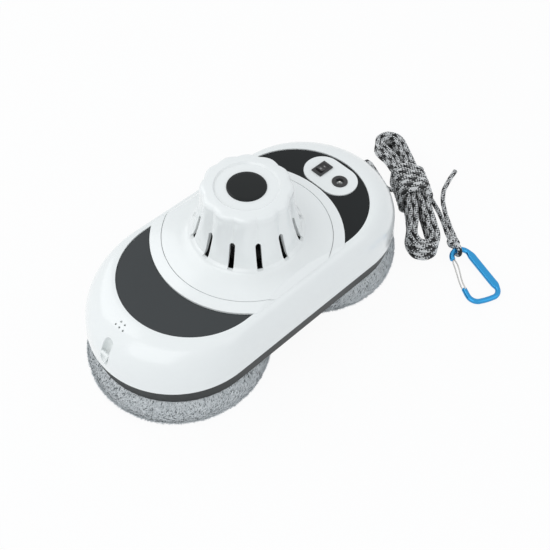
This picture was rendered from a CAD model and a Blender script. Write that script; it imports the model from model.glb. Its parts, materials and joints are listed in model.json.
import json
import math

import bmesh
import bpy
import numpy as np
from mathutils import Matrix, Vector

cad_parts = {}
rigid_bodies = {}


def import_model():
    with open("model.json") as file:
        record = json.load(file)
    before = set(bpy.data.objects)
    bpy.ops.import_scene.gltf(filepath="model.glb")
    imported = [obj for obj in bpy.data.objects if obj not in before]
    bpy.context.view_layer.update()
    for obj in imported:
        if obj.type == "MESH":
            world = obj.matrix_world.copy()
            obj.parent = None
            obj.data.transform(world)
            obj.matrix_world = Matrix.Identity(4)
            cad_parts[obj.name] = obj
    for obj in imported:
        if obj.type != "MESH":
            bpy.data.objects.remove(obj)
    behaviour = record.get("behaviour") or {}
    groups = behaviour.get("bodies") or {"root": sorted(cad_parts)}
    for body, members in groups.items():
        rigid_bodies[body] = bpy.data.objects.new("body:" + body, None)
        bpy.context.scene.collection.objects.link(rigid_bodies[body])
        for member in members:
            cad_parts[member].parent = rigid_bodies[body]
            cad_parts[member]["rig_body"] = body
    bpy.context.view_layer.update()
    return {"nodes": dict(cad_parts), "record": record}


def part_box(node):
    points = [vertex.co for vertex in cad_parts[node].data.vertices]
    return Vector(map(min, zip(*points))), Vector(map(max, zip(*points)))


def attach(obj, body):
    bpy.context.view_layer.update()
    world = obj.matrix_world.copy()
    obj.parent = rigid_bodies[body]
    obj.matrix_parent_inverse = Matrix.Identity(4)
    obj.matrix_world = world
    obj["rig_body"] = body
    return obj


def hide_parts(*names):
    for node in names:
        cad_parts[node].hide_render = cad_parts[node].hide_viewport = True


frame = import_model()

# The camera looks down on the robot over its near left corner, from arm's length.
# The photograph is squeezed sideways, so the camera has its view and its width, and the object its true height.
camera_turn = math.radians(-135.2)
camera_rise = math.radians(52)
camera_roll = math.radians(1.4)
camera_reach = 0.7
camera_aside = Vector((-0.0223, -0.0168))
photo_width = 550
focal_pixels = 833
back = Vector((math.cos(camera_rise) * math.cos(camera_turn), math.cos(camera_rise) * math.sin(camera_turn),
               math.sin(camera_rise)))
level = Vector((0, 0, 1)).cross(back).normalized()
upright = back.cross(level)
across = level * math.cos(camera_roll) + upright * math.sin(camera_roll)
above = upright * math.cos(camera_roll) - level * math.sin(camera_roll)
camera = bpy.data.objects.new("camera", bpy.data.cameras.new("camera"))
camera.data.lens = camera.data.sensor_width * focal_pixels / photo_width
camera.matrix_world = Matrix.Translation(back * camera_reach - across * camera_aside.x - above * camera_aside.y) \
    @ Matrix((across, above, back)).transposed().to_4x4()
bpy.context.scene.collection.objects.link(camera)
bpy.context.scene.camera = camera

# Safety rope: 4 mm braided cord of eight strands each way, half of them black and half white, so that
# black and white patches change sides along it. It is tied to the far bar, bundled, and ends at the snap hook.
rope_diameter = 0.0042
rope_radius = rope_diameter / 2
braid_strands = 8
braid_lay = 0.016
braid_relief = 0.09
braid_crown = 1.4
rope_sides = 24
rope_step = 0.0009
curve_steps = 12
touching = 1e-7


def node_maker(tree):
    """Adds nodes to a tree: make(type, {socket: value or output}, property=value)."""
    def make(kind, inputs=None, **settings):
        node = tree.nodes.new(kind)
        for name, value in settings.items():
            setattr(node, name, value)
        for key, value in (inputs or {}).items():
            if isinstance(value, bpy.types.NodeSocket):
                tree.links.new(value, node.inputs[key])
            else:
                node.inputs[key].default_value = value
        return node
    return make


def mixed(make, factor, first, second, mode="MIX"):
    """The colour of a mix of two colours."""
    return make("ShaderNodeMix", {0: factor, 6: first, 7: second}, data_type="RGBA", blend_type=mode).outputs[2]


def math_node(make, operation, *values):
    """The result of a math node."""
    return make("ShaderNodeMath", dict(enumerate(values)), operation=operation).outputs[0]


def noise(make, scale, detail):
    """A noise over the object's own space."""
    place = make("ShaderNodeTexCoord").outputs["Object"]
    return make("ShaderNodeTexNoise", {"Vector": place, "Scale": scale, "Detail": detail}).outputs["Fac"]


def shader_group(name, inputs, outputs):
    """An empty node group with named inputs (name: type or number) and outputs."""
    group = bpy.data.node_groups.new(name, "ShaderNodeTree")
    for key, value in inputs.items():
        kind = value if isinstance(value, str) else "NodeSocketFloat"
        socket = group.interface.new_socket(key, in_out="INPUT", socket_type=kind)
        if not isinstance(value, str):
            socket.default_value = value
    for key, kind in outputs.items():
        group.interface.new_socket(key, in_out="OUTPUT", socket_type=kind)
    return group, group.nodes.new("NodeGroupInput"), group.nodes.new("NodeGroupOutput"), node_maker(group)


def finish(name, colour, roughness, **settings):
    """A Principled material with plain constants; its patterns are linked by the caller."""
    material = bpy.data.materials.new(name)
    material.use_nodes = True
    shader = material.node_tree.nodes["Principled BSDF"]
    shader.inputs["Base Color"].default_value = (*colour, 1)
    shader.inputs["Roughness"].default_value = roughness
    for key, value in settings.items():
        shader.inputs[key.replace("_", " ")].default_value = value
    return material, shader, node_maker(material.node_tree), material.node_tree.links.new


def braid_group():
    """Reads a UV of lays along and turns around, and puts out which strand is on top and how high it stands."""
    group, source, sink, make = shader_group("braid", {"UV": "NodeSocketVector"},
                                             {"White": "NodeSocketFloat", "Height": "NodeSocketFloat"})
    uv = make("ShaderNodeSeparateXYZ", {0: source.outputs["UV"]})
    sums = [math_node(make, operation, uv.outputs["Y"], uv.outputs["X"]) for operation in ("ADD", "SUBTRACT")]
    strands = [math_node(make, "MULTIPLY", value, braid_strands) for value in sums]
    cells = [math_node(make, "FLOOR", value) for value in strands]
    numbers = [math_node(make, "FLOORED_MODULO", cell, braid_strands) for cell in cells]
    whites = [math_node(make, "LESS_THAN", number, braid_strands / 2) for number in numbers]
    over = math_node(make, "FLOORED_MODULO", math_node(make, "ADD", *cells), 2)
    turns = [math_node(make, "MULTIPLY", math_node(make, "FRACT", value), math.pi) for value in strands]
    swells = [math_node(make, "SINE", turn) for turn in turns]
    white = make("ShaderNodeMix", {0: over, 2: whites[0], 3: whites[1]}, data_type="FLOAT")
    group.links.new(white.outputs[0], sink.inputs["White"])
    group.links.new(math_node(make, "MULTIPLY", *swells), sink.inputs["Height"])
    return group


braid = braid_group()
rope_finish, shader, make, link = finish("braided_rope", (0.02, 0.02, 0.02), 0.72, Sheen_Weight=0.25,
                                         Specular_IOR_Level=0.35)
lay_map = make("ShaderNodeUVMap", uv_map="lay")
strand = make("ShaderNodeGroup", {"UV": lay_map.outputs[0]}, node_tree=braid)
fluffed = make("ShaderNodeMapRange", {0: noise(make, 900, 3), 3: 0.75, 4: 1.1})
yarn = mixed(make, strand.outputs["White"], (0.008, 0.009, 0.01, 1), (0.92, 0.935, 0.93, 1))
furrow = make("ShaderNodeMapRange", {0: strand.outputs["Height"], 2: 0.45, 3: 0.5, 4: 1})
shaded = mixed(make, 1.0, mixed(make, 1.0, yarn, furrow.outputs[0], "MULTIPLY"), fluffed.outputs[0], "MULTIPLY")
link(shaded, shader.inputs["Base Color"])
relief = make("ShaderNodeBump", {"Height": strand.outputs["Height"], "Distance": 0.0003, "Strength": 0.8})
link(relief.outputs[0], shader.inputs["Normal"])


def as_mesh(bm, name="work"):
    mesh = bpy.data.meshes.new(name)
    bm.to_mesh(mesh)
    bm.free()
    return mesh


def placed(name, data):
    """A new object in the scene."""
    thing = bpy.data.objects.new(name, data)
    bpy.context.scene.collection.objects.link(thing)
    return thing


def mount(name, mesh, material, body, slot, *nodes, sharp=32):
    """Makes a piece of a mesh, smooth up to the sharp angle, that rides a body and hides what it replaces."""
    if isinstance(mesh, bmesh.types.BMesh):
        mesh = as_mesh(mesh, name)
    mesh.name = name
    mesh.polygons.foreach_set("use_smooth", [True] * len(mesh.polygons))
    mesh.set_sharp_from_angle(angle=math.radians(sharp))
    mesh.materials.clear()
    mesh.materials.append(material)
    piece = placed(name, mesh)
    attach(piece, body)
    if nodes:
        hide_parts(*nodes)
    return piece


def run_along(route):
    """The length of a route up to each of its points."""
    return np.concatenate([[0], np.cumsum(np.linalg.norm(np.diff(route, axis=0), axis=1))])


def between(t, first, second, slope, next_slope):
    """The point at share t of the smooth curve between two points that has these slopes at them."""
    return ((2 * t ** 3 - 3 * t ** 2 + 1) * first + (t ** 3 - 2 * t ** 2 + t) * slope
            + (3 * t ** 2 - 2 * t ** 3) * second + (t ** 3 - t ** 2) * next_slope)


def smooth_route(points, step):
    """Points at equal steps along a smooth curve through the given ones, and its length."""
    p = np.array(points, float)
    gap = np.linalg.norm(np.diff(p, axis=0), axis=1)[:, None]
    slope = np.diff(p, axis=0) / gap
    tangent = np.vstack([slope[:1], (slope[1:] * gap[:-1] + slope[:-1] * gap[1:]) / (gap[1:] + gap[:-1]), slope[-1:]])
    t = np.linspace(0, 1, curve_steps, endpoint=False)[:, None]
    fine = np.vstack([between(t, p[i], p[i + 1], gap[i] * tangent[i], gap[i] * tangent[i + 1])
                      for i in range(len(p) - 1)] + [p[-1:]])
    along = run_along(fine)
    count = max(4, round(along[-1] / step))
    at = np.linspace(0, along[-1], count + 1)
    return np.stack([np.interp(at, along, fine[:, axis]) for axis in range(3)], 1), along[-1]


def faced_out(bm):
    """The same solid, with every face turned outwards."""
    bmesh.ops.recalc_face_normals(bm, faces=bm.faces)
    return bm


def tube(route, section, sides, lay=1.0, start=(0, 0, 1)):
    """A closed tube along a route, with a UV map of lays along and turns around.

    section(along, around) gives its two half-widths, of which the first points to the start direction.
    """
    rows = len(route) - 1
    tangent = np.gradient(route, axis=0)
    tangent /= np.linalg.norm(tangent, axis=1)[:, None]
    side = np.array(start, float)
    sides_at = []
    for t in tangent:
        side = side - t * (side @ t)
        side = side / np.linalg.norm(side)
        sides_at.append(side)
    sides_at = np.array(sides_at)
    ups = np.cross(tangent, sides_at)
    steps = run_along(route)
    bm = bmesh.new()
    bmesh.ops.create_grid(bm, x_segments=rows, y_segments=sides, size=0.5)
    low = min(v.co.x for v in bm.verts)
    span = max(v.co.x for v in bm.verts) - low
    cells = {v: (round((v.co.x - low) / span * rows), round((v.co.y - low) / span * sides)) for v in bm.verts}
    lay_uv = bm.loops.layers.uv.new("lay")
    for face in bm.faces:
        for loop in face.loops:
            i, k = cells[loop.vert]
            loop[lay_uv].uv = (steps[i] / lay, k / sides)
    for v, (i, k) in cells.items():
        turn = 2 * math.pi * (k % sides) / sides
        wide, deep = section(steps[i], k % sides / sides)
        v.co = Vector(route[i] + wide * math.cos(turn) * sides_at[i] + deep * math.sin(turn) * ups[i])
    bmesh.ops.remove_doubles(bm, verts=bm.verts, dist=touching)
    rims = [edge for edge in bm.edges if edge.is_boundary]
    bmesh.ops.holes_fill(bm, edges=rims, sides=0)
    return faced_out(bm)


def braid_swell(along, around):
    """Half-width of the rope, with the pillows of its braid."""
    a = (around + along / braid_lay) * braid_strands
    b = (around - along / braid_lay) * braid_strands
    swell = abs(math.sin(math.pi * a) * math.sin(math.pi * b))
    radius = rope_radius * (1 - braid_relief + braid_relief * braid_crown * swell ** 0.5)
    return radius, radius


def rope_piece(name, points, nodes, start=(0, 0, 1)):
    """A braided rope through the points, with its fine route and its length."""
    route, length = smooth_route(points, rope_step)
    bm = tube(route, braid_swell, rope_sides, braid_lay, start)
    return mount(name, bm, rope_finish, "robot_body", "rope", *nodes, sharp=80), route, length


lead_points = [(0.142, -0.0022, 0.0588), (0.1444, -0.0024, 0.0544), (0.1474, -0.0032, 0.0488),
               (0.1506, -0.0044, 0.0426), (0.1536, -0.0058, 0.0362), (0.1564, -0.0072, 0.03),
               (0.1592, -0.0084, 0.0244), (0.1626, -0.0096, 0.0198), (0.1666, -0.0116, 0.0168),
               (0.171, -0.0146, 0.0156)]
line_points = [(0.2141, 0.0071, 0.008), (0.2117, 0.0003, 0.0072), (0.2094, -0.0066, 0.0058),
               (0.2069, -0.0146, 0.0042), (0.2038, -0.0221, 0.0029), (0.2, -0.0293, 0.0023),
               (0.1962, -0.0363, 0.0022), (0.1928, -0.0437, 0.0022), (0.189, -0.0509, 0.0022),
               (0.1844, -0.0586, 0.0022), (0.1792, -0.066, 0.0022), (0.1744, -0.0724, 0.0024),
               (0.1706, -0.0778, 0.0032), (0.1684, -0.0812, 0.0042)]
tail_points = [(0.1706, -0.0836, 0.0046), (0.1743, -0.0808, 0.0034), (0.1779, -0.0759, 0.0024),
               (0.183, -0.0685, 0.0022), (0.1888, -0.0605, 0.0022), (0.1952, -0.0527, 0.0022),
               (0.2008, -0.0468, 0.0022), (0.2063, -0.0421, 0.0022), (0.2128, -0.038, 0.0022),
               (0.2205, -0.0348, 0.0022), (0.2289, -0.0322, 0.0022), (0.2379, -0.0298, 0.0022),
               (0.2412, -0.029, 0.0022)]

# The bundle: eight loops in layers of two, each moving to the next place on its way back, drawn in at the waist.
bundle_run = 0.118
bundle_turn = math.radians(235.5)
bundle_centre = Vector((0.178, -0.019, 0.0157))
bundle_bow = 0.005
bundle_droop = 0.0046
droop_most_share = 1.2
strand_gap = 0.001
strand_pitch = rope_diameter + strand_gap
fold_inside = 0.0069
loop_count = 8
out_steps = 6
return_steps = 12
tuck_steps = 5
fold_steps = 4


def bundle_point(u, v, w):
    """A point along, across and above the bundle, which bows sideways and droops to its ends."""
    reach = u / (bundle_run / 2)
    v = v + bundle_bow * (1 - min(1, reach * reach))
    return (bundle_centre.x + u * math.cos(bundle_turn) - v * math.sin(bundle_turn),
            bundle_centre.y + u * math.sin(bundle_turn) + v * math.cos(bundle_turn),
            bundle_centre.z + w - bundle_droop * min(droop_most_share, reach * reach))


def strand_outer(i):
    """Whether a strand lies on the outside of its layer (1) or next to the middle (0)."""
    return 1 if i % 4 in (0, 3) else 0


def strand_across(i, u):
    """How far a strand lies from the bundle's middle line: close at the waist, wide at the folds."""
    waist = strand_pitch * (strand_outer(i) + 0.5)
    fold = fold_inside + strand_pitch * strand_outer(i)
    return waist + (fold - waist) * min(1, abs(u) / (bundle_run / 2)) ** 2


def strand_height(i):
    """How high a strand's layer lies above the bundle's middle."""
    return strand_pitch * (i // 2 - (loop_count / 2 - 1) / 2)


def bundle_fold(i, end):
    """The half turn of a strand round one end of the bundle."""
    radius = fold_inside + strand_pitch * strand_outer(i)
    turns = [math.pi * j / fold_steps - end * math.pi / 2 for j in range(1, fold_steps)]
    return [bundle_point(end * bundle_run / 2 + radius * math.cos(a), radius * math.sin(a), strand_height(i))
            for a in turns]


bundle_points = []
for k in range(loop_count):
    last = k == loop_count - 1
    for j in range(out_steps // 3 if k == 0 else 0, out_steps + 1):
        u = bundle_run * (j / out_steps - 0.5)
        bundle_points.append(bundle_point(u, -strand_across(k, u), strand_height(k)))
    bundle_points += bundle_fold(k, 1)
    place_now = k
    for j in range((tuck_steps if last else return_steps) + 1):
        u = bundle_run * (0.5 - j / return_steps)
        if not last and j > return_steps - 1 - k:
            place_now = min(loop_count - 1, k + 1)
        bundle_points.append(bundle_point(u, strand_across(place_now, u), strand_height(place_now)))
    if not last:
        bundle_points += bundle_fold(place_now, -1)

# The wraps: seven turns round the waist of the bundle, side by side.
wrap_count = 7
wrap_steps = 18
wrap_space = 0.0009
wrap_clear = 0.00045
wrap_pitch = rope_diameter + wrap_space
wrap_radius = strand_pitch * 2 + rope_radius + wrap_clear
wrap_square = 4
wrap_points = []
for i in range(wrap_count * wrap_steps + 1):
    a = math.pi / 3 - 2 * math.pi * i / wrap_steps
    reach = wrap_radius / (abs(math.cos(a)) ** wrap_square + abs(math.sin(a)) ** wrap_square) ** (1 / wrap_square)
    wrap_points.append(bundle_point(wrap_pitch * (wrap_count / 2 - i / wrap_steps), reach * math.cos(a),
                                    reach * math.sin(a)))


lead_made = rope_piece("rope_lead_cord", lead_points, ["rope_lead"], (0, 1, 0))
bundle_made = rope_piece("rope_bundle_cord", bundle_points, ["rope_hank"])
wraps_made = rope_piece("rope_wrap_cord", wrap_points, ["rope_wraps"], (1, 0, 0))
line_made = rope_piece("rope_line_cord", line_points, ["rope_line"])
tail_made = rope_piece("rope_tail_cord", tail_points, ["rope_tail"])

# The hitch: the rope's end is turned twice round the moulded bar in the far pocket and pulled tight.
hitch_low, hitch_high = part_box("rope_hitch")
bar_place = (hitch_low + hitch_high) / 2
hitch_radius = (hitch_high.z - hitch_low.z) / 2 - rope_radius
hitch_steps = 16
hitch_count = 2 * hitch_steps
hitch_start = math.radians(200)
hitch_width = hitch_high.y - hitch_low.y - rope_diameter
hitch_points = []
for i in range(hitch_count + 1):
    a = hitch_start - 2 * math.pi * i / hitch_steps
    hitch_points.append((bar_place.x + hitch_radius * math.cos(a),
                         bar_place.y + hitch_width * (i / hitch_count - 0.5),
                         bar_place.z + hitch_radius * math.sin(a)))
hitch = rope_piece("hitch_turns", hitch_points, ["rope_hitch"], (1, 0, 0))[0]

# The knot: the tail is wound twice round the two standing strands above the snap hook and drawn up hard.
knot_low, knot_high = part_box("rope_knot")
knot_place = (knot_low + knot_high) / 2
eye_low, eye_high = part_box("rope_eye")
eye_place = (eye_low + eye_high) / 2
knot_run = (knot_place - eye_place).normalized()
knot_side = knot_run.cross(Vector((0, 0, 1))).normalized()
knot_up = knot_side.cross(knot_run)
knot_reach = (knot_high.x - knot_low.x) / 2 - rope_radius
knot_length = 0.0058
knot_slant = 0.0009
knot_width_share = 1.12
knot_turn_steps = 18
knot_steps = 40
core_shares = (-2.3, -1.4, -0.5, 0.4, 1.3, 2.1)
knot_points = []
for i in range(knot_steps + 1):
    a = 2 * math.pi * i / knot_turn_steps
    slide = knot_length * (i / knot_steps - 0.5) + knot_slant * math.sin(a)
    knot_points.append(knot_place + knot_run * slide + knot_side * knot_reach * knot_width_share * math.cos(a)
                       + knot_up * knot_reach * math.sin(a))
knot = rope_piece("knot_turns", knot_points, ["rope_knot"], tuple(knot_run))[0]
core_points = [knot_place + knot_run * share * knot_reach for share in core_shares]
knot_inside = rope_piece("knot_core", core_points, [], tuple(knot_up))[0]

# The eye: a loop of the rope through the narrow end of the snap hook, closed by the knot.
hook_place = Vector((0.1515, -0.118, 0.0049))
hook_turn = Matrix.Rotation(math.radians(-24.2), 4, "Z") @ Matrix.Rotation(math.radians(4.8), 4, "X")
on_hook = Matrix.Translation(hook_place) @ hook_turn
rod_radius = 0.0023
top_arc = (Vector((-0.001, 0.0185, 0)), 0.0085)
eye_gap = 0.0002
eye_radius = rod_radius + rope_radius + eye_gap
eye_centre = top_arc[0] + Vector((0, top_arc[1] + eye_gap, 0))
eye_steps = 24
eye_points = []
for i in range(eye_steps + 1):
    a = math.pi / 2 + 2 * math.pi * i / eye_steps
    eye_points.append(on_hook @ (eye_centre + Vector((0, eye_radius * math.sin(a), eye_radius * math.cos(a)))))
hook_side = tuple(on_hook.to_3x3() @ Vector((1, 0, 0)))
eye = rope_piece("eye_loop", eye_points, ["rope_eye"], hook_side)[0]

# Top shell: one gloss white moulding of ABS, domed from an upright lip to a flat top, with a raised ring round
# the fan tower, a sunk seat for the dark panels, a scooped rope pocket in each end and five small holes.
shell_low, shell_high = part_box("top_shell")
tower_low, tower_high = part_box("fan_tower")
panel_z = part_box("near_crescent_panel")[0].z
top_z = tower_low.z
shell_radius = shell_high.y
shell_centre = shell_high.x - shell_radius
lip_rise = 0.004
lip_z = shell_low.z + lip_rise
lip_draft = 0.0006
lip_wall = 0.0037
plateau_radius = 0.0595
plateau_centre = 0.054
panel_radius = 0.0575
ring_radius = 0.0748
ring_rise = 0.0006
ring_root = 0.0025
ring_crest = 0.0024
groove = 0.0005
skirt_radius = 0.06545
side_run = 0.007
side_rise = 0.0065
roof_thickness = 0.005
shell_wall = 0.0025
fan_opening = 0.05
fit = 0.00015
cut = 0.001
clear = 0.01
seat_height = 0.004
dome_rows = 24
round_steps = 144
pocket_place = Vector((0.1475, 0, 0.064))
pocket_radius = 0.017
pocket_widths = {-1: 0.0086, 1: 0.011}
pocket_wall = 0.002
pocket_rounding = 0.0035
bar_radius = 0.0014
bar_end = Vector((0.1386, 0, 0.0575))
bar_inset = 0.001
slit_face = -0.131
slit_run = -0.011
slit_sides = (-0.0021, 0.0002)
slit_heights = (0.048, 0.0545)
alert_place = 0.1232
alert_pitch = 0.004
alert_row = 0.0036
alert_radius = 0.0008


def grown_ring(bm, edges):
    """Extrudes a ring of edges, and gives the new ring's corners and edges."""
    grown = bmesh.ops.extrude_edge_only(bm, edges=edges)["geom"]
    corners = [g for g in grown if isinstance(g, bmesh.types.BMVert)]
    fresh = set(corners)
    return corners, [g for g in grown if isinstance(g, bmesh.types.BMEdge) and fresh.issuperset(g.verts)]


def stadium_stack(rings):
    """A closed solid through stadium rings of (radius, arc centre, height), from the bottom up."""
    bm = bmesh.new()
    verts = bmesh.ops.create_circle(bm, segments=round_steps, radius=1, cap_ends=False)["verts"]
    bmesh.ops.rotate(bm, verts=verts, matrix=Matrix.Rotation(math.pi / round_steps, 3, "Z"))
    edges = list(bm.edges)
    spots = {v: v.co.copy() for v in verts}
    caps = []
    for n, (radius, centre, height) in enumerate(rings):
        if n:
            fresh, edges = grown_ring(bm, edges)
            old = {tuple(round(c, 9) for c in v.co): unit for v, unit in spots.items()}
            spots = {v: old[tuple(round(c, 9) for c in v.co)] for v in fresh}
        if n in (0, len(rings) - 1):
            caps.append(list(edges))
        for v, unit in spots.items():
            v.co = Vector((unit.x * radius + math.copysign(centre, unit.x), unit.y * radius, height))
    for rim in caps:
        bmesh.ops.edgenet_fill(bm, edges=rim)
    return faced_out(bm)


def turned(profile, steps=round_steps):
    """A closed solid turned round the Z axis from an outline of (radius, height); it may touch the axis."""
    bm = bmesh.new()
    verts = [bm.verts.new((radius, 0, height)) for radius, height in profile]
    edges = [bm.edges.new(pair) for pair in zip(verts, verts[1:])]
    if max(profile[0][0], profile[-1][0]) > touching:
        edges.append(bm.edges.new((verts[-1], verts[0])))
    bmesh.ops.spin(bm, geom=verts + edges, cent=(0, 0, 0), axis=(0, 0, 1), angle=2 * math.pi, steps=steps,
                   use_merge=True)
    bmesh.ops.remove_doubles(bm, verts=bm.verts, dist=touching)
    return faced_out(bm)


def lying_drum(radius, width, place):
    """A cylinder that lies along Y."""
    bm = bmesh.new()
    bmesh.ops.create_cone(bm, cap_ends=True, segments=64, radius1=radius, radius2=radius, depth=width)
    bmesh.ops.rotate(bm, verts=bm.verts, matrix=Matrix.Rotation(math.pi / 2, 3, "X"))
    bmesh.ops.translate(bm, verts=bm.verts, vec=place)
    return bm


def scoop(radius, width, place, rounding):
    """A lying cylinder with its two rims rounded, which carves a boat-shaped scoop."""
    bm = lying_drum(radius, width, place)
    rims = [edge for edge in bm.edges if abs(edge.verts[0].co.y - edge.verts[1].co.y) < touching
            and len(edge.link_faces) == 2 and max(len(face.verts) for face in edge.link_faces) > 4]
    bmesh.ops.bevel(bm, geom=rims, offset=rounding, segments=6, profile=0.5, affect="EDGES", material=-1)
    return bm


def standing_drum(radius, low, high, x=0.0, y=0.0, segments=64):
    """A cylinder that stands from low to high."""
    bm = bmesh.new()
    bmesh.ops.create_cone(bm, cap_ends=True, segments=segments, radius1=radius, radius2=radius, depth=high - low)
    bmesh.ops.translate(bm, verts=bm.verts, vec=(x, y, (low + high) / 2))
    return bm


def prism(outline, run):
    """A closed solid from a flat outline of points, drawn along a vector."""
    bm = bmesh.new()
    face = bm.faces.new([bm.verts.new(point) for point in outline])
    drawn = bmesh.ops.extrude_face_region(bm, geom=[face])["geom"]
    bmesh.ops.translate(bm, verts=[g for g in drawn if isinstance(g, bmesh.types.BMVert)], vec=run)
    return faced_out(bm)


def carved(solid, tool, operation="DIFFERENCE"):
    """The exact boolean of two meshes, as a new mesh."""
    pair = [placed("work", as_mesh(m) if isinstance(m, bmesh.types.BMesh) else m) for m in (solid, tool)]
    boolean = pair[0].modifiers.new("carve", "BOOLEAN")
    boolean.object = pair[1]
    boolean.operation = operation
    boolean.solver = "EXACT"
    mesh = bpy.data.meshes.new_from_object(pair[0].evaluated_get(bpy.context.evaluated_depsgraph_get()))
    for part in pair:
        bpy.data.objects.remove(part)
    return mesh


def side_planes_cut(bm):
    """Cuts a turned piece off along the two sloping side planes of the flat top, and closes the cuts."""
    for sign in (-1, 1):
        outwards = Vector((0, sign * side_rise, side_run)).normalized()
        made = bmesh.ops.bisect_plane(bm, geom=bm.verts[:] + bm.edges[:] + bm.faces[:], dist=touching,
                                      plane_co=(0, sign * plateau_radius, top_z), plane_no=outwards, clear_outer=True)
        rim = [g for g in made["geom_cut"] if isinstance(g, bmesh.types.BMEdge)]
        bmesh.ops.edgenet_fill(bm, edges=rim)
    return faced_out(bm)


def pocket_spot(sign):
    """The middle of the near (-1) or the far (1) rope pocket's drum."""
    return Vector((sign * pocket_place.x, 0, pocket_place.z))


dome_rings = []
lip_radius = shell_radius - lip_draft
for i in range(dome_rows + 1):
    turn = math.pi / 2 * i / dome_rows
    share = 1 - math.cos(turn)
    dome_rings.append((lip_radius + (plateau_radius - lip_radius) * share,
                       shell_centre + (plateau_centre - shell_centre) * share,
                       lip_z + (top_z - lip_z) * math.sin(turn)))
shell = stadium_stack([(shell_radius, shell_centre, shell_low.z)] + dome_rings)
inside_rings = [(radius - shell_wall, centre, lip_z + (height - lip_z) * (1 - roof_thickness / (top_z - lip_z)))
                for radius, centre, height in dome_rings]
hollow = stadium_stack([(shell_radius - lip_wall, shell_centre, shell_low.z - cut)] + inside_rings)
for sign in (-1, 1):
    hollow = carved(hollow, lying_drum(pocket_radius + pocket_wall, pocket_widths[1] + 2 * pocket_wall,
                                       pocket_spot(sign)))
shell = carved(shell, hollow)
ring_profile = [(skirt_radius + groove, top_z - ring_root), (ring_radius, top_z - ring_root),
                (ring_radius, top_z + ring_rise), (skirt_radius + groove, top_z + ring_crest)]
shell = carved(shell, side_planes_cut(turned(ring_profile)), "UNION")
seat = carved(stadium_stack([(panel_radius + fit, plateau_centre, z) for z in (panel_z, top_z + seat_height)]),
              standing_drum(ring_radius - fit, panel_z - clear, top_z + 2 * clear, segments=round_steps))
shell = carved(shell, seat)
shell = carved(shell, standing_drum(fan_opening, top_z - clear, top_z + clear, segments=round_steps))
for sign in (-1, 1):
    shell = carved(shell, scoop(pocket_radius, pocket_widths[sign], pocket_spot(sign), pocket_rounding))
slit = [(slit_face, slit_sides[i], slit_heights[j]) for i, j in ((0, 0), (1, 0), (1, 1), (0, 1))]
shell = carved(shell, prism(slit, (slit_run, 0, 0)))
alert_spots = [(-alert_place, (i - 1) * alert_pitch) for i in range(3)] \
    + [(alert_row - alert_place, (i - 0.5) * alert_pitch) for i in range(2)]
for x, y in alert_spots:
    shell = carved(shell, standing_drum(alert_radius, top_z - 2 * clear, top_z + clear, x, y, segments=20))


def skin_group():
    """The surface of a moulded or painted part: a faint unevenness of gloss, and an orange-peel height."""
    group, source, sink, make = shader_group(
        "moulded_skin", {"Scale": 300.0, "Gloss change": 0.1, "Roughness": 0.2},
        {"Roughness": "NodeSocketFloat", "Height": "NodeSocketFloat", "Cloud": "NodeSocketFloat"})
    coarse = noise(make, 18, 4)
    spread = math_node(make, "SUBTRACT", coarse, 0.5)
    change = math_node(make, "MULTIPLY_ADD", spread, source.outputs["Gloss change"], source.outputs["Roughness"])
    group.links.new(change, sink.inputs["Roughness"])
    group.links.new(noise(make, source.outputs["Scale"], 2), sink.inputs["Height"])
    group.links.new(coarse, sink.inputs["Cloud"])
    return group


skin = skin_group()


def moulded(name, colour, deep, roughness, scale=300.0, gloss_change=0.1, bump=0.00002, **settings):
    """A moulded plastic or a metal: its colour drifts a little to the deep one, over an orange-peel skin."""
    material, shader, make, link = finish(name, colour, roughness, **settings)
    surface = make("ShaderNodeGroup", {"Scale": scale, "Gloss change": gloss_change, "Roughness": roughness},
                   node_tree=skin)
    link(mixed(make, surface.outputs["Cloud"], (*colour, 1), (*deep, 1)), shader.inputs["Base Color"])
    link(surface.outputs["Roughness"], shader.inputs["Roughness"])
    peel = make("ShaderNodeBump", {"Height": surface.outputs["Height"], "Distance": bump, "Strength": 0.6})
    link(peel.outputs[0], shader.inputs["Normal"])
    return material


white_gloss = moulded("white_gloss", (0.885, 0.91, 0.9), (0.86, 0.89, 0.88), 0.2, scale=420.0,
                      gloss_change=0.08, Coat_Weight=0.6, Coat_Roughness=0.12)


def softened(piece, width, segments=2, angle=40):
    """Rounds a piece's edges."""
    bevel = piece.modifiers.new("edge", "BEVEL")
    bevel.width = width
    bevel.segments = segments
    bevel.limit_method = "ANGLE"
    bevel.angle_limit = math.radians(angle)
    bevel.harden_normals = True
    bevel.use_clamp_overlap = True
    return piece


softened(mount("shell_moulding", shell, white_gloss, "robot_body", "white_shell", "top_shell", sharp=30), 0.0004)
for name, sign in (("near_rope_bar", -1), ("far_rope_bar", 1)):
    bar = lying_drum(bar_radius, pocket_widths[sign] - bar_inset, Vector((sign * bar_end.x, 0, bar_end.z)))
    mount(name, bar, white_gloss, "robot_body", "white_shell")

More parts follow.
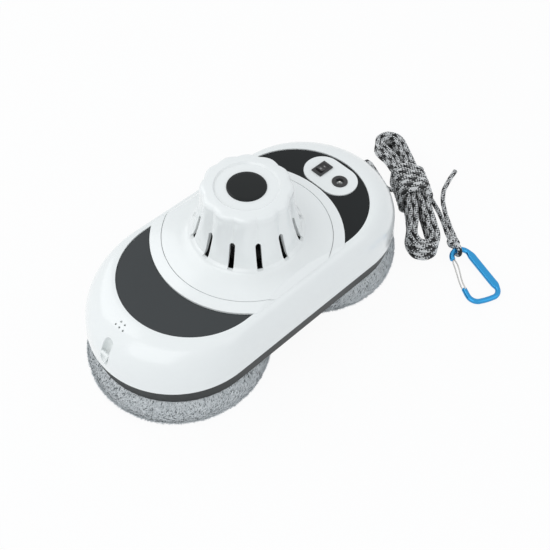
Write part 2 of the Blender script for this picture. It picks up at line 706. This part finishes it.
# Fan tower: a white moulding that a hand can grip, fluted down its sides, with twelve air slots at its foot, a
# dished top and a broad round skirt, which the flat sides of the shell cut off.
flute_count = 12
flute_steps = 12
neck_radius = 0.0326
flute_depth = 0.0018
tower_height = tower_high.z - top_z
slot_width = 0.0042
slot_length = 0.021
slot_rise = 0.0082
slot_reach = (0.026, 0.052)
head_steps = 12
tower_wall = 0.0025
tower_roof = 0.004
dish_radius = 0.0244
dish_depth = 0.0013
blend_gap = 0.02
flute_run = 0.16
skirt_foot = 0.0005
wedge_reach = 0.08
wedge_foot = 0.00108
wedge_rise = 0.004
tower_shares = [(0.125, 1.36, 0), (0.16, 1.292, 0.1), (0.21, 1.243, 0.35), (0.29, 1.19, 0.65), (0.41, 1.125, 0.95),
                (0.55, 1.066, 1), (0.69, 1.024, 1), (0.82, 1, 1), (0.915, 0.998, 1), (0.965, 0.982, 0.95),
                (0.99, 0.945, 0.8), (1, 0.9, 0.6)]
skirt_shares = [(1, 0.045), (0.92, 0.066), (0.83, 0.087), (0.76, 0.1), (0.71, 0.115), (0.68, 0.135), (0.664, 0.16)]


def eased(rows, steps):
    """More rows of shares on a smooth curve through the given ones."""
    rows = np.array(rows, float)
    slope = np.gradient(rows, axis=0)
    return [between(t, rows[i], rows[i + 1], slope[i], slope[i + 1]) for i in range(len(rows) - 1)
            for t in np.linspace(0, 1, steps, endpoint=False)] + [rows[-1]]


def round_headed_slot():
    """A cutter for one air slot, pointing along +X: a square foot and a half round head, drawn outwards."""
    foot_z = top_z + slot_rise
    head_z = foot_z + slot_length - slot_width / 2
    turns = [math.pi * i / head_steps for i in range(head_steps + 1)]
    outline = [(slot_reach[0], slot_width / 2 * math.cos(a), head_z + slot_width / 2 * math.sin(a)) for a in turns]
    outline += [(slot_reach[0], side * slot_width / 2, foot_z) for side in (-1, 1)]
    return prism(outline, (slot_reach[1] - slot_reach[0], 0, 0))


skirt_top = skirt_shares[-1][1]
fine_shares = [row for row in eased(tower_shares, 4) if row[0] > skirt_top + blend_gap]
outer_rows = [(skirt_radius, top_z, 0)] \
    + [(skirt_radius * share, top_z + tower_height * rise, 0) for share, rise in eased(skirt_shares, 4)] \
    + [(neck_radius * width, top_z + tower_height * rise, flute * min(1, (rise - skirt_top) / flute_run))
       for rise, width, flute in fine_shares]
tower_bm = bmesh.new()
bmesh.ops.create_circle(tower_bm, segments=flute_count * flute_steps, radius=neck_radius, cap_ends=False)
ring_verts = list(tower_bm.verts)
ring_edges = list(tower_bm.edges)
end_rims = [ring_edges]
for n, (radius, height, flute) in enumerate(outer_rows):
    if n:
        ring_verts, ring_edges = grown_ring(tower_bm, ring_edges)
    for v in ring_verts:
        turn = math.atan2(v.co.y, v.co.x)
        reach = radius + flute_depth * flute * abs(math.sin(turn * flute_count / 2))
        v.co = Vector((reach * math.cos(turn), reach * math.sin(turn), height))
end_rims.append(ring_edges)
for rim in end_rims:
    bmesh.ops.edgenet_fill(tower_bm, edges=rim)
inner_z = tower_high.z - tower_roof
mouth = skirt_radius * skirt_shares[2][0]
throat, throat_rise = skirt_shares[3]
hollow_profile = [(0, top_z - cut), (mouth, top_z - cut), (mouth, top_z + skirt_foot),
                  (skirt_radius * throat, top_z + tower_height * throat_rise - tower_wall)] \
    + [(neck_radius * width - tower_wall, top_z + tower_height * rise) for rise, width, flute in fine_shares
       if top_z + tower_height * rise < inner_z] + [(0, inner_z)]
tower = carved(faced_out(tower_bm), turned(hollow_profile))
wedge_y = plateau_radius - side_run
wedge_z = top_z + side_rise
for sign in (-1, 1):
    wedge = [(-wedge_reach, sign * y, z) for y, z in (
        (plateau_radius + wedge_foot, top_z - cut), (wedge_y, wedge_z), (wedge_y, wedge_z + wedge_rise),
        (wedge_reach, wedge_z + wedge_rise), (wedge_reach, top_z - cut))]
    tower = carved(tower, prism(wedge, (2 * wedge_reach, 0, 0)))
for k in range(flute_count):
    slot = round_headed_slot()
    bmesh.ops.rotate(slot, verts=slot.verts, matrix=Matrix.Rotation(2 * math.pi * k / flute_count, 3, "Z"))
    tower = carved(tower, slot)
dish_z = tower_high.z - dish_depth
over_z = tower_high.z + 2 * cut
tower = carved(tower, turned([(0, dish_z), (dish_radius - dish_depth, dish_z), (dish_radius, tower_high.z),
                              (dish_radius, over_z), (0, over_z)]))
mount("tower_moulding", tower, white_gloss, "robot_body", "white_shell", "fan_tower", sharp=28)

# Tower cap: a black gloss disc with a broken edge, pressed into the dish.
cap_low, cap_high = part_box("tower_cap")
cap_radius = cap_high.x
black_gloss = moulded("black_gloss", (0.006, 0.0085, 0.009), (0.009, 0.0115, 0.012), 0.14, gloss_change=0.06,
                      Specular_IOR_Level=0.24)
cap_edge = [(0, 0.0007), (0.0002, 0.0003), (0.0007, 0.0001)]
cap_flat_share = 0.8
cap_profile = [(0, cap_low.z), (cap_radius, cap_low.z)] \
    + [(cap_radius - inset, cap_high.z - drop) for inset, drop in cap_edge] \
    + [(cap_radius * cap_flat_share, cap_high.z), (0, cap_high.z)]
mount("cap_disc", turned(cap_profile), black_gloss, "robot_body", "dark_panel", "tower_cap")

cad_merge = 1e-6
flat_angle = math.radians(1)


def reworked(node, name, material, slot, edge=0.0003, segments=2):
    """A merged copy of a CAD node with its flats joined up and its edges rounded, standing for that node."""
    bm = bmesh.new()
    bm.from_mesh(frame["nodes"][node].data)
    bmesh.ops.remove_doubles(bm, verts=bm.verts, dist=cad_merge)
    bmesh.ops.dissolve_limit(bm, angle_limit=flat_angle, verts=bm.verts, edges=bm.edges)
    softened(mount(name, bm, material, frame["nodes"][node]["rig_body"], slot, node), edge, segments, 35)


# Crescent panels and switch plate: dark gloss plates let into the flat top, and a white pill that carries the
# rocker switch and the charging socket.
dark_gloss = moulded("dark_gloss", (0.026, 0.032, 0.035), (0.032, 0.038, 0.041), 0.12, gloss_change=0.06,
                     Specular_IOR_Level=0.42)
far_gloss = moulded("far_gloss", (0.005, 0.0075, 0.0085), (0.008, 0.0105, 0.0115), 0.12, gloss_change=0.06,
                    Specular_IOR_Level=0.21)
reworked("near_crescent_panel", "near_panel_plate", dark_gloss, "dark_panel")
reworked("far_crescent_panel", "far_panel_plate", far_gloss, "dark_panel")
reworked("switch_bezel", "switch_plate", white_gloss, "white_shell", 0.0004, 3)

# Rocker switch: a black nylon body with a stepped frame, and a matt rocker with the marks for off and on.
black_nylon = moulded("black_nylon", (0.014, 0.014, 0.015), (0.02, 0.02, 0.021), 0.42, scale=1400.0,
                      gloss_change=0.2, bump=0.00004)
mark_paint = moulded("mark_paint", (0.72, 0.72, 0.7), (0.66, 0.66, 0.64), 0.5)
reworked("switch_body", "rocker_frame", black_nylon, "black_plastic", 0.0004)
reworked("switch_rocker", "rocker_key", black_nylon, "black_plastic", 0.00025)
rocker_pivot = Vector((0.0925, 0.0095, 0.0769))
rocker_tilt = math.radians(9)
crest_slope = math.radians(10.15)
crest_height = 0.0024
mark_reach = 0.0023
mark_height = crest_height + mark_reach * math.tan(crest_slope)
mark_band = 0.00016
mark_radius = 0.00075
mark_length = 0.0017
mark_root = 0.0002
mark_rise = 0.00004
mark_edge = 0.00005
ring_mark = turned([(mark_radius + side * mark_band, height) for side, height in (
    (-1, -mark_root), (1, -mark_root), (1, mark_rise), (-1, mark_rise))], steps=32)
bar_mark = bmesh.new()
bmesh.ops.create_cube(bar_mark, size=1)
bmesh.ops.scale(bar_mark, verts=bar_mark.verts, vec=(2 * mark_band, mark_length, mark_root + mark_rise))
bmesh.ops.translate(bar_mark, verts=bar_mark.verts, vec=(0, 0, (mark_rise - mark_root) / 2))
bmesh.ops.bevel(bar_mark, geom=bar_mark.edges, offset=mark_edge, segments=2, profile=0.5, affect="EDGES", material=-1)
for name, sign, bm in (("off_mark", -1, ring_mark), ("on_mark", 1, bar_mark)):
    tip =Matrix.Translation((sign * mark_reach, 0, mark_height)) @ Matrix.Rotation(-sign * crest_slope, 4, "Y")
    bmesh.ops.transform(bm, matrix=Matrix.Translation(rocker_pivot) @ Matrix.Rotation(rocker_tilt, 4, "Y") @ tip,
                        verts=bm.verts)
    mount(name, bm, mark_paint, "rocker", "black_plastic")

# Charging socket: a black round inlet with a bright centre pin.
nickel = moulded("nickel", (0.66, 0.66, 0.64), (0.6, 0.6, 0.58), 0.24, Metallic=1.0)
reworked("dc_jack_body", "socket_body", black_nylon, "black_plastic", 0.0003)
reworked("dc_jack_pin", "socket_pin", nickel, "steel", 0.0003)

# Base housing: the dark satin band below the shell, with the floor that carries the drive.
dark_satin = moulded("dark_satin", (0.014, 0.018, 0.0185), (0.02, 0.024, 0.025), 0.36, scale=900.0,
                     gloss_change=0.15, bump=0.00003, Specular_IOR_Level=0.3)
reworked("base_housing", "base_moulding", dark_satin, "dark_base", 0.0004)

# Mop pads: a light grey twisted pile of microfibre on a round knitted back, held to the plate by hook tape.
# Every twist of the pile is a short pointed tuft that lies outwards and down over a padded body.
tuft_length = 0.0046
tuft_width = 0.0009
tuft_count = 19000
pile_depth = 0.0022
pile_top = 0.0012
pad_foot = 0.0009
pad_rim = 0.0643
pad_hole = 0.0125
pad_core = 0.0192
pad_shares = [(0.9, 0), (0.955, 0.06), (0.99, 0.2), (1, 0.4), (0.992, 0.6), (0.965, 0.8), (0.925, 0.95), (0.9, 1)]
swell_height = 0.0003
swell_waves = (620, 580)
swell_inset = 0.001
under_part = 9
under_inset = 0.004
under_lean = 0.02
under_turns = 7
tuft_root = 0.36
tuft_rings = ((0.5, 0.5), (1.0, 0.02))
tuft_merge = 0.1
tuft_falls = (0.35, 0.42)
fall_wave = 0.35
fall_turns = 3
fall_rise = 260
tuft_leans = (0.12, 0.36)
tuft_lengths = (0.6, 1.15)
tuft_widths = (0.7, 1.25)
tuft_flatness = 0.8
tuft_sink = 0.0002
tuft_trim = 0.0002
tone_spread = (2.2, 1.6)
pile_tones = ((0.2, (0.25, 0.28, 0.29, 1)), (0.5, (0.7, 0.745, 0.76, 1)), (1.0, (0.9, 0.93, 0.94, 1)))


def pile_finish(name):
    """Grey microfibre: tufts pale at the tip and dark at the root, each with its own tone."""
    material, shader, make, link = finish(name, (0.4, 0.43, 0.44), 0.85, Sheen_Weight=0.35, Specular_IOR_Level=0.25)
    tone = make("ShaderNodeAttribute", attribute_name="tuft_tone")
    height = make("ShaderNodeAttribute", attribute_name="tuft_height")
    shade = math_node(make, "MULTIPLY_ADD", noise(make, 160, 3), 0.6, tone.outputs["Fac"])
    ramp = make("ShaderNodeValToRGB", {0: shade})
    ramp.color_ramp.elements.new(0.5)
    for stop, (position, colour) in zip(ramp.color_ramp.elements, pile_tones):
        stop.position = position
        stop.color = colour
    depth = make("ShaderNodeMapRange", {0: height.outputs["Fac"], 3: 0.6, 4: 1.0})
    link(mixed(make, 1.0, ramp.outputs[0], depth.outputs[0], "MULTIPLY"), shader.inputs["Base Color"])
    fibre = make("ShaderNodeBump", {"Height": noise(make, 1500, 2), "Distance": 0.0002, "Strength": 0.7})
    link(fibre.outputs[0], shader.inputs["Normal"])
    return material


pile = pile_finish("microfibre_pile")


def corners_and_faces(bm):
    """A solid's corners as an array and its faces as lists of their numbers; the solid itself is freed."""
    bm.verts.index_update()
    corners = np.array([v.co for v in bm.verts])
    faces = [[v.index for v in face.verts] for face in bm.faces]
    bm.free()
    return corners, faces


def tuft_shape():
    """One tuft along +Z, unit long and unit wide: a three-sided spindle drawn to a point."""
    bm = bmesh.new()
    bmesh.ops.create_circle(bm, segments=3, radius=tuft_root, cap_ends=False)
    edges = list(bm.edges)
    for height, radius in tuft_rings:
        ring, edges = grown_ring(bm, edges)
        for v in ring:
            turn = math.atan2(v.co.y, v.co.x)
            v.co = Vector((radius * math.cos(turn), radius * math.sin(turn), height))
    bmesh.ops.remove_doubles(bm, verts=ring, dist=tuft_merge)
    return corners_and_faces(bm)


def pile_pad(name, node, body, seed):
    """A mop pad that stands for a CAD node: a turned, padded body under tufts from seeded draws."""
    low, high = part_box(node)
    centre = (low + high) / 2
    reach = (high.x - low.x) / 2
    tall = high.z - low.z
    body_reach = reach - pile_depth
    body_top = tall - pile_top
    outline = [(pad_hole, pad_foot)] \
        + [(body_reach * share, max(pad_foot, body_top * rise)) for share, rise in eased(pad_shares, 3)] \
        + [(pad_rim, body_top), (pad_rim, pad_core), (pad_hole, pad_core)]
    bm = turned(outline, steps=180)
    rng = np.random.default_rng(seed)
    for v in bm.verts:
        if math.hypot(v.co.x, v.co.y) > pad_rim + swell_inset:
            swell = swell_height * math.sin(swell_waves[0] * v.co.x + seed) * math.sin(swell_waves[1] * v.co.y)
            v.co *= 1 + swell / reach
    base, base_faces = corners_and_faces(bm)
    shape, faces = tuft_shape()
    # Places on the side and the rim, evenly over the outline's length, and a thinner cover underneath
    side = np.array([(body_reach * s, body_top * r) for s, r in eased(pad_shares, 8)] + [(pad_rim, body_top)])
    run = run_along(side)
    under = tuft_count // under_part
    at = rng.uniform(0, run[-1], tuft_count - under)
    squares = rng.uniform((pad_hole + under_inset) ** 2, (body_reach * pad_shares[0][0]) ** 2, under)
    radius = np.concatenate([np.interp(at, run, side[:, 0]), np.sqrt(squares)])
    height = np.concatenate([np.interp(at, run, side[:, 1]), np.full(under, pad_foot)])
    slope_r, slope_z = [np.interp(at, run[:-1], np.diff(side[:, axis]) / np.diff(run)) for axis in (0, 1)]
    normal_r = np.concatenate([slope_z, np.zeros(under)])
    normal_z = np.concatenate([-slope_r, np.full(under, -1.0)])
    turn = rng.uniform(0, 2 * math.pi, tuft_count)
    out = np.stack([np.cos(turn), np.sin(turn), np.zeros(tuft_count)], 1)
    swirl = np.stack([-np.sin(turn), np.cos(turn), np.zeros(tuft_count)], 1)
    upward = np.array([0, 0, 1.0])
    normal = out * normal_r[:, None] + upward * normal_z[:, None]
    along = np.cross(swirl, normal)
    fall = rng.normal(*tuft_falls, tuft_count) \
        + fall_wave * np.sin(fall_turns * turn + seed) * np.sin(height * fall_rise)
    lean = rng.uniform(*tuft_leans, tuft_count)
    direction = np.cos(fall)[:, None] * along * -1 + np.sin(fall)[:, None] * swirl
    below = normal_r == 0
    around = turn * under_turns
    direction[below] = (out * np.cos(around)[:, None] + swirl * np.sin(around)[:, None])[below]
    lean[below] = under_lean
    axis = direction + normal * lean[:, None]
    axis /= np.linalg.norm(axis, axis=1)[:, None]
    wide = np.cross(axis, normal)
    wide /= np.linalg.norm(wide, axis=1)[:, None]
    deep = np.cross(axis, wide)
    length = tuft_length * rng.uniform(*tuft_lengths, tuft_count)
    width = tuft_width * rng.uniform(*tuft_widths, tuft_count)
    root = out * radius[:, None] + upward * height[:, None] - normal * tuft_sink
    verts = (root[:, None] + shape[None, :, 0, None] * (wide * width[:, None])[:, None]
             + shape[None, :, 1, None] * (deep * width[:, None] * tuft_flatness)[:, None]
             + shape[None, :, 2, None] * (axis * length[:, None])[:, None]).reshape(-1, 3)
    trim = np.minimum(1, (reach - tuft_trim) / np.hypot(verts[:, 0], verts[:, 1]))
    verts[:, :2] *= trim[:, None]
    planar = np.hypot(verts[:, 0], verts[:, 1])
    keep_out = (verts[:, 2] > pad_core) & (planar < pad_rim)
    verts[keep_out, :2] *= (pad_rim / planar[keep_out])[:, None]
    verts[:, 2] = np.clip(verts[:, 2], 0, tall)
    tone = rng.beta(*tone_spread, tuft_count)
    count = len(shape)
    offsets = len(base) + np.arange(tuft_count) * count
    all_faces = base_faces + [[index + start for index in face] for start in offsets.tolist() for face in faces]
    mesh = bpy.data.meshes.new(name)
    mesh.from_pydata(np.vstack([base, verts]) + np.array([centre.x, centre.y, low.z]), [], all_faces)
    for key, values in (("tuft_tone", np.repeat(tone, count)), ("tuft_height", np.tile(shape[:, 2], tuft_count))):
        layer = mesh.attributes.new(key, "FLOAT", "POINT")
        layer.data.foreach_set("value", np.concatenate([np.zeros(len(base)), values]).astype(np.float32))
    pad = mount(name, mesh, pile, body, "plush", node, sharp=80)


pile_pad("near_pile_pad", "near_mop_pad", "near_pad_wheel", 7)
pile_pad("far_pile_pad", "far_mop_pad", "far_pad_wheel", 19)

# Snap hook: a blue anodised aluminium rod with a broad flat spine, bent to a loop, and a sprung gate of steel wire.
hook_blue = moulded("anodised_blue", (0.045, 0.33, 0.66), (0.035, 0.29, 0.6), 0.26, scale=1600.0,
                    gloss_change=0.12, bump=0.00001, Metallic=0.85)
spring_wire = moulded("spring_wire", (0.62, 0.62, 0.6), (0.5, 0.5, 0.49), 0.22, scale=2000.0, Metallic=1.0)
left_arc = (Vector((-0.006, -0.0185, 0)), 0.008)
right_arc = (Vector((0.0055, -0.0185, 0)), 0.008)
spine_lean = math.radians(6.5)
spine_half = 0.0034
spine_thick = 0.002
pivot = Vector((-0.0139, -0.0125, 0))
pivot_end = Vector((-0.0139, -0.0103, 0))
nose = Vector((-0.0095, 0.0176, 0))
spine_steps = 6
spine_ramp = 0.006
spine_square = 0.55
corner_most_share = 1.12
rod_step = 0.0006
rod_sides = 32
end_share = 0.35
end_run = 0.0016


def bend(arc, start, end, steps):
    """Points round an arc of (centre, radius) in the hook's own plane."""
    return [arc[0] + arc[1] * Vector((math.cos(a), math.sin(a), 0))
            for a in (start + (end - start) * i / steps for i in range(steps + 1))]


rod_points = [pivot_end, pivot] + bend(left_arc, math.pi, 1.5 * math.pi, 6) \
    + bend(right_arc, 1.5 * math.pi, 2 * math.pi + spine_lean, 8)
spine_start = rod_points[-1]
spine_end = bend(top_arc, spine_lean, spine_lean, 1)[0]
rod_points += [spine_start.lerp(spine_end, i / spine_steps) for i in range(1, spine_steps)]
rod_points += bend(top_arc, spine_lean, math.pi, 10) + [nose]
rod_route, rod_length = smooth_route([on_hook @ p for p in rod_points], rod_step)
along = run_along(rod_route)
spine_from, spine_to = [along[np.argmin(np.linalg.norm(rod_route - np.array(on_hook @ point), axis=1))]
                        for point in (spine_start, spine_end)]


def rod_section(at, around):
    """Round at the ends and bends; flat and broad along the spine, with a straight face."""
    share = min(1, max(0, (at - spine_from) / spine_ramp + 0.5)) * min(1, max(0, (spine_to - at) / spine_ramp + 0.5))
    share = share * share * (3 - 2 * share)
    turn = 2 * math.pi * around
    square = 1 / max(abs(math.cos(turn)), abs(math.sin(turn))) ** (spine_square * share)
    end = min(1, end_share + at / end_run, end_share + (rod_length - at) / end_run) * min(square, corner_most_share)
    return [(rod_radius + (half - rod_radius) * share) * end for half in (spine_half, spine_thick)]


hook_bm = tube(rod_route, rod_section, rod_sides, start=hook_side)
hook = mount("hook_rod", hook_bm, hook_blue, "robot_body", "hook_blue", "carabiner_body", sharp=50)
wire_radius = 0.0006
wire_clear = 0.00005
wire_off = rod_radius + wire_radius + wire_clear
wire_in_rod = 0.001
wire_step = 0.0005
wire_sides = 14
gate_top = Vector((-0.0096, 0.01755, 0))
gate_half = [place + Vector((0, y, z)) for place, y, z in (
    (pivot, 0, rod_radius - wire_in_rod), (pivot, 0, wire_off - wire_radius), (pivot, wire_radius, wire_off),
    (pivot, 4 * wire_radius, wire_off), (gate_top, -4 * wire_radius, wire_off),
    (gate_top, -wire_radius, wire_off - wire_radius))]
gate_points = gate_half + [Vector((p.x, p.y, -p.z)) for p in reversed(gate_half)]
gate_route = smooth_route([on_hook @ p for p in gate_points], wire_step)[0]
gate_bm = tube(gate_route, lambda at, around: (wire_radius, wire_radius), wire_sides, start=hook_side)
gate = mount("gate_wire", gate_bm, spring_wire, "hook_gate", "steel", "carabiner_gate", sharp=60)

# Inner pieces: drive, fan, duct, board, battery and fasteners keep their CAD form and get a finish each.
acetal = moulded("acetal", (0.74, 0.74, 0.7), (0.68, 0.68, 0.64), 0.38, scale=1000.0)
bearing_brass = moulded("bearing_brass", (0.6, 0.42, 0.16), (0.5, 0.34, 0.12), 0.3, scale=1400.0, gloss_change=0.2,
                        Metallic=1.0)
zinc = moulded("zinc_plate", (0.56, 0.57, 0.58), (0.48, 0.49, 0.5), 0.3, scale=1200.0, gloss_change=0.25,
               Metallic=1.0)
solder_mask = moulded("solder_mask", (0.02, 0.13, 0.06), (0.03, 0.19, 0.08), 0.35, scale=240.0, gloss_change=0.3)
shrink_wrap = moulded("shrink_wrap", (0.03, 0.16, 0.42), (0.04, 0.2, 0.5), 0.3, scale=500.0, bump=0.0001)
hook_tape = moulded("hook_tape", (0.03, 0.03, 0.032), (0.08, 0.08, 0.084), 0.8, scale=2600.0, bump=0.0004)
finishes = {"white_shell": acetal, "dark_panel": dark_gloss, "dark_base": dark_satin, "black_plastic": black_nylon,
            "plush": pile, "hook_tape": hook_tape, "gear_plastic": acetal, "bush_brass": bearing_brass,
            "steel": zinc, "board": solder_mask, "battery_wrap": shrink_wrap, "rope": rope_finish,
            "hook_blue": hook_blue}
slot_of = {row["node"]: row["material_slot"] for row in frame["record"]["subparts"]}
for name, node in frame["nodes"].items():
    if not node.hide_render:
        node.data.materials.clear()
        node.data.materials.append(finishes.get(slot_of.get(name), dark_satin))

# Floor and light: a plain pale table, a white surround that gloss and metal see too, and soft lamps.
floor_glow = 0.93
floor_half = 4
lamp_aim = Vector((0.02, 0, 0.05))


def seen_directly(make):
    """1 for rays from the camera, off gloss or through glass, and 0 for the rays that light things."""
    paths = make("ShaderNodeLightPath").outputs
    seen = math_node(make, "MAXIMUM", paths["Is Camera Ray"], paths["Is Glossy Ray"])
    return math_node(make, "MAXIMUM", seen, paths["Is Transmission Ray"])


floor_finish, shader, make, link = finish("pale_floor", (0.86, 0.87, 0.88), 0.7)
part = math_node(make, "MULTIPLY", seen_directly(make), floor_glow)
glow = make("ShaderNodeEmission", {"Color": (1, 1, 1, 1), "Strength": 1.0})
both = make("ShaderNodeMixShader", {0: part, 1: shader.outputs[0], 2: glow.outputs[0]})
link(both.outputs[0], floor_finish.node_tree.nodes["Material Output"].inputs["Surface"])
floor_bm = bmesh.new()
bmesh.ops.create_grid(floor_bm, x_segments=1, y_segments=1, size=floor_half)
floor_piece = placed("table_top", as_mesh(floor_bm, "table_top"))
floor_piece.data.materials.append(floor_finish)

world = bpy.data.worlds.new("surround")
bpy.context.scene.world = world
world.use_nodes = True
make = node_maker(world.node_tree)
lit = world.node_tree.nodes["Background"]
lit.inputs["Color"].default_value = (0.93, 0.96, 1, 1)
lit.inputs["Strength"].default_value = 0.68
white = make("ShaderNodeBackground", {"Color": (1, 1, 1, 1), "Strength": 1.0})
both = make("ShaderNodeMixShader", {0: seen_directly(make), 1: lit.outputs[0], 2: white.outputs[0]})
world.node_tree.links.new(both.outputs[0], world.node_tree.nodes["World Output"].inputs["Surface"])

for name, place, size, power in [("key", (-1.05, -0.2, 0.95), 1.1, 4), ("fill", (0.5, -1.2, 1.0), 1.3, 2.5),
                                 ("back_light", (-0.35, 1.1, 1.2), 1.2, 5)]:
    lamp = placed(name, bpy.data.lights.new(name, "AREA"))
    lamp.data.shape = "SQUARE"
    lamp.data.size = size
    lamp.data.energy = power
    aim = (lamp_aim - Vector(place)).to_track_quat("-Z", "Y")
    lamp.matrix_world = Matrix.Translation(place) @ aim.to_matrix().to_4x4()

bpy.context.scene.view_settings.view_transform = "Standard"
